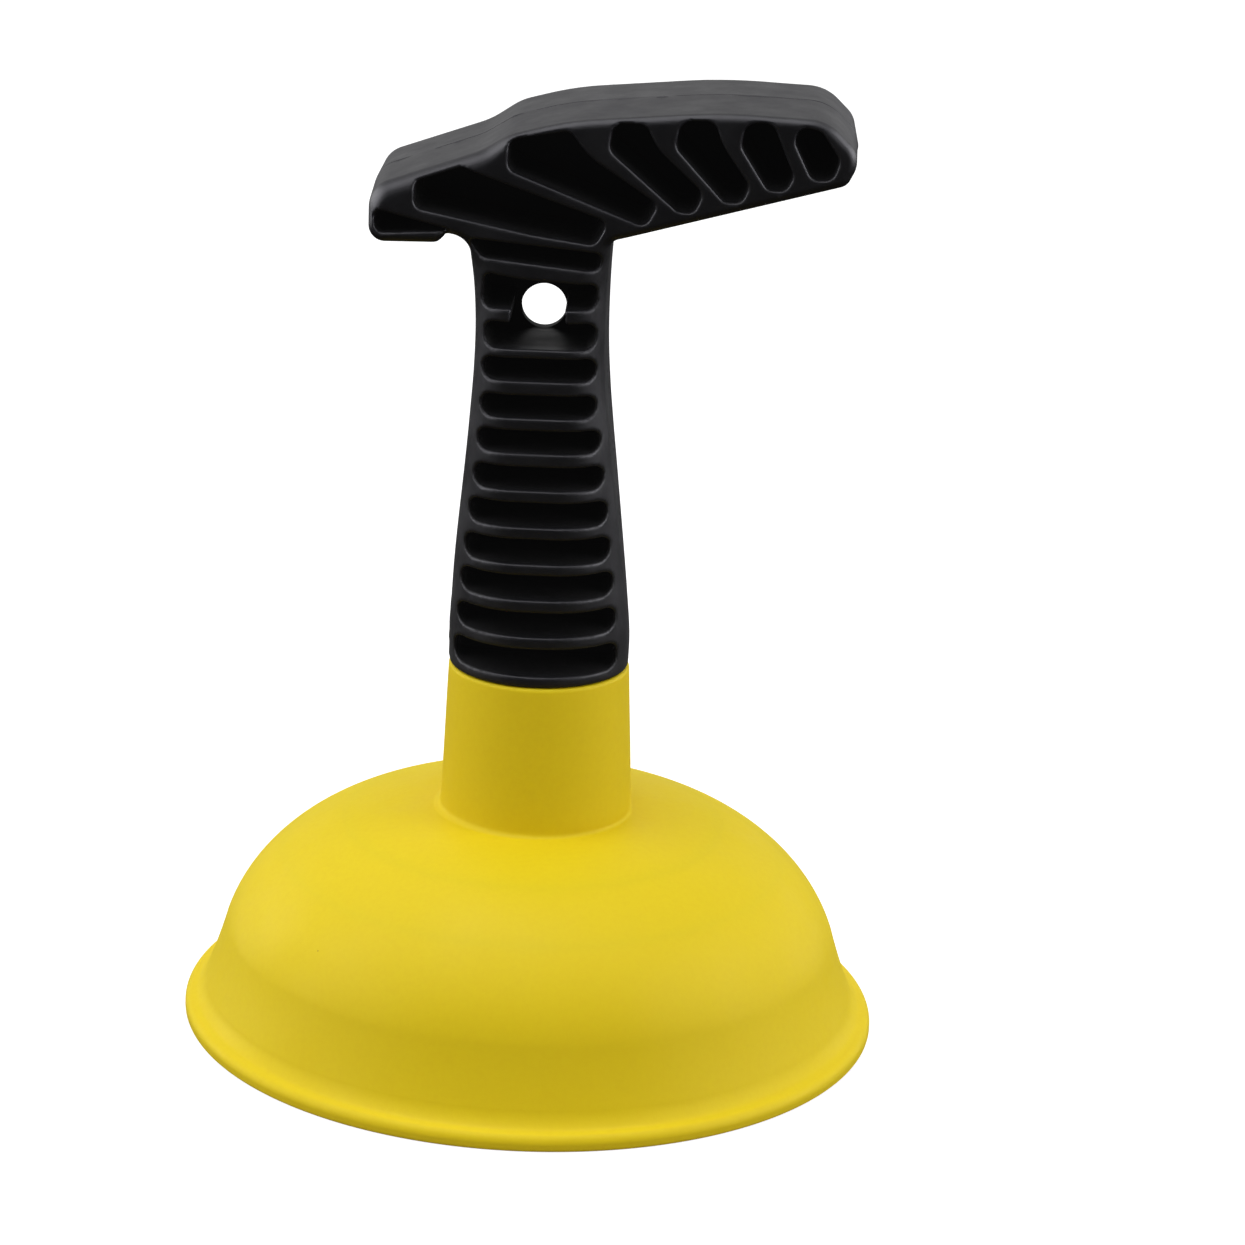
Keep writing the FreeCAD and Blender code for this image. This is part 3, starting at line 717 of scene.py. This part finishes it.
def build_collar():
    """The dome's top and the collar on it, with the blind socket for the spigot."""
    ceiling = DOME_Z + DOME_RISE - WALL
    under = [(radius, ceiling) for radius in (0.0, 6.0, 12.0, DOME_R)]
    under += dome_run(math.pi / 2, at_height(SEAM_HIGH, WALL), WALL, step=0.5)[1:]
    dome_end = math.acos((DOME_END_R - DOME_R) / DOME_REACH)
    upper = dome_run(at_height(SEAM_HIGH), dome_end, step=0.6)
    root = arc(upper[-1], COLLAR_FOOT, radius=1.07, left=False, steps=10)
    (foot_r, foot_z), (top_r, top_z) = COLLAR_FOOT, COLLAR_TOP
    wall = [
        (foot_r + (top_r - foot_r) * t, foot_z + (top_z - foot_z) * t)
        for t in np.linspace(0, 1, 40)[1:]
    ]
    roll = arc(COLLAR_TOP, ROLL_END, radius=0.9, left=True, steps=8)
    profile = under + upper + root + wall + roll + SOCKET
    seam, count = len(under) - 1, len(profile)
    # crisp at the seam, at both sides of the socket's chamfer and round its floor
    sharp = (seam, seam + 1, count - 5, count - 4, count - 2)
    collar = lathe("cup_collar_top", profile, RUBBER, sharp, closed=False)
    # the outside of the collar stands a touch towards the long lobe
    for vertex in collar.data.vertices:
        x, y, z = vertex.co
        outside = smooth(13.0, 17.0, math.hypot(x, y) / MM)
        above_dome = smooth(42.0, 44.5, z / MM)
        easing = 1 - 0.2 * smooth(50.0, 72.0, z / MM)
        vertex.co.x += LEAN * MM * above_dome * easing * outside
    return collar


def build_spigot():
    """The hidden barbed spigot under the grip, held in the collar."""
    bore, root, tip = 7.4, 10.6, 11.95
    bottom, top = 47.2, 73.4
    profile = [(bore, bottom), (root, bottom)]
    for barb in range(4):
        low = 47.8 + 5.0 * barb
        profile += [(root, low), (tip, low + 3.0), (tip, low + 3.4), (root, low + 3.4)]
    profile += [(root, top), (bore, top)]
    return lathe("handle_spigot", profile, PLASTIC, sharp=range(len(profile)), segments=128)


handle = build_handle(CELL)
spigot = build_spigot()
bell = build_bell()
crown = build_crown_ring()
collar = build_collar()

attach(handle, "grip")
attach(spigot, "grip")
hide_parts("handle")
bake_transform(bell)
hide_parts("cup_lip", "cup_wall")
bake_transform(crown)
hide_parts("cup_crown")
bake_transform(collar)
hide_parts("cup_collar")


# ---------------------------------------------------------------- studio, in metres
FLOOR_BOUNCE = (0.46, 0.43, 0.38, 1)  # colour seen by diffuse rays
FLOOR_GLOSS = 0.04  # grey seen by all other rays but the camera's
FLOOR_PAPER = 0.50  # grey seen by the camera
FLOOR_GLOW = 0.80  # emission seen by the camera
WORLD_FRONT = 0.08
WORLD_BACK = 0.54
WORLD_TOP = 0.66
WORLD_SIDE = 4.4
LIGHT_AIM = (0, 0, 0.08)

# The camera, placed before an orbit about the Z axis; angles in radians.
CAMERA_PLACE = (0, -803.34, 345.43)  # millimetres
CAMERA_DIP = 0.318392
CAMERA_HEADING = -0.078079  # negative towards -X
CAMERA_ROLL = 0.0062413
CAMERA_ORBIT = math.radians(2.56)
CAMERA_LENS, CAMERA_SENSOR = 126.5812048, 36.0
CAMERA_SHIFT = (0.329558233, -0.00570281124)


def build_floor():
    bpy.ops.mesh.primitive_plane_add(size=8.0, location=(0, 0, 0))
    floor = bpy.context.object
    floor.name = "studio_floor"
    m = Material("studio_floor")
    rays = m.add("LightPath").outputs
    camera_ray = rays["Is Camera Ray"]
    paper = m.mix(m.noise(scale=3.0), grey(FLOOR_PAPER - 0.02), grey(FLOOR_PAPER + 0.02))
    bounce = m.mix(rays["Is Diffuse Ray"], grey(FLOOR_GLOSS), FLOOR_BOUNCE)
    m.set("Base Color", m.mix(camera_ray, bounce, paper))
    m.set("Roughness", 0.9)
    m.set("Specular IOR Level", 0.0)
    m.set("Emission Color", (1, 1, 1, 1))
    m.set("Emission Strength", m.calc("MULTIPLY", camera_ray, FLOOR_GLOW))
    floor.data.materials.append(m.material)


def build_world():
    """A white sweep behind and above, a dim room on the camera's side."""
    world = bpy.data.worlds.new("studio")
    bpy.context.scene.world = world
    world.use_nodes = True
    graph = Graph(world.node_tree)
    output = graph.add("OutputWorld")
    background = graph.add("Background")
    direction = graph.add("SeparateXYZ")
    graph.put(direction.inputs[0], graph.add("TexCoord").outputs["Generated"])
    x, y, z = direction.outputs

    def ease(value, low, high, to_low, to_high):
        return graph.remap(value, low, high, to_low, to_high, interpolation="SMOOTHSTEP")

    depth = ease(y, low=-0.75, high=0.75, to_low=WORLD_FRONT, to_high=WORLD_BACK)
    above = ease(z, low=0.25, high=1.0, to_low=0.0, to_high=WORLD_TOP)
    level = graph.calc("MAXIMUM", depth, above)
    rays = graph.add("LightPath").outputs
    glossy = rays["Is Glossy Ray"]
    # tall white cards on both sides, there only for the sheen of the plastic
    sideways = graph.calc("ABSOLUTE", x)
    cards = ease(sideways, low=0.55, high=0.95, to_low=0.0, to_high=WORLD_SIDE)
    level = graph.calc("ADD", level, graph.calc("MULTIPLY", cards, glossy))
    # reflections of the room on the camera's side are darkened
    dark = ease(y, low=-0.85, high=0.10, to_low=0.9, to_high=0.0)
    kept = graph.calc("SUBTRACT", 1.0, graph.calc("MULTIPLY", dark, glossy))
    level = graph.calc("MULTIPLY", level, kept)
    # the camera itself sees plain white
    seen = graph.calc("MULTIPLY", rays["Is Camera Ray"], 1.0)
    level = graph.calc("MAXIMUM", level, seen)
    graph.put(background.inputs["Color"], (1, 1, 1, 1))
    graph.put(background.inputs["Strength"], level)
    graph.put(output.inputs["Surface"], background.outputs[0])


def add_softbox(name, place, size, power):
    light = bpy.data.lights.new(name, "AREA")
    light.shape = "RECTANGLE"
    light.size, light.size_y = size
    light.energy = power
    softbox = bpy.data.objects.new(name, light)
    bpy.context.scene.collection.objects.link(softbox)
    softbox.location = place
    aim = Vector(LIGHT_AIM) - Vector(place)
    softbox.rotation_euler = aim.to_track_quat("-Z", "Y").to_euler()


def add_camera():
    """A long lens in front of the product, looking down on it a little."""
    data = bpy.data.cameras.new("camera")
    data.sensor_width = CAMERA_SENSOR
    data.lens = CAMERA_LENS
    data.shift_x, data.shift_y = CAMERA_SHIFT
    data.clip_start = 0.01
    camera = bpy.data.objects.new("camera", data)
    bpy.context.scene.collection.objects.link(camera)
    level = math.cos(CAMERA_DIP)
    forward = np.array([
        math.sin(CAMERA_HEADING) * level, math.cos(CAMERA_HEADING) * level, -math.sin(CAMERA_DIP),
    ])
    right = np.cross(forward, [0, 0, 1])
    right /= np.linalg.norm(right)
    up = np.cross(right, forward)
    cosine, sine = math.cos(CAMERA_ROLL), math.sin(CAMERA_ROLL)
    right, up = right * cosine + up * sine, -right * sine + up * cosine
    cosine, sine = math.cos(CAMERA_ORBIT), math.sin(CAMERA_ORBIT)
    orbit = np.array([[cosine, -sine, 0], [sine, cosine, 0], [0, 0, 1]])
    place = orbit @ np.array(CAMERA_PLACE) * MM
    columns = np.column_stack([orbit @ right, orbit @ up, -(orbit @ forward), place])
    camera.matrix_world = Matrix(columns.tolist() + [[0, 0, 0, 1]])
    bpy.context.scene.camera = camera


build_floor()
build_world()
add_softbox("top_softbox", place=(-0.10, -0.10, 1.0), size=(0.9, 0.9), power=6.0)
add_softbox("left_softbox", place=(-0.85, -0.25, 0.55), size=(0.6, 0.8), power=3.0)
add_softbox("right_softbox", place=(0.9, -0.20, 0.5), size=(0.6, 0.8), power=3.8)
add_camera()
bpy.context.scene.view_settings.view_transform = "Standard"
bpy.context.scene.view_settings.look = "None"
bpy.context.view_layer.update()
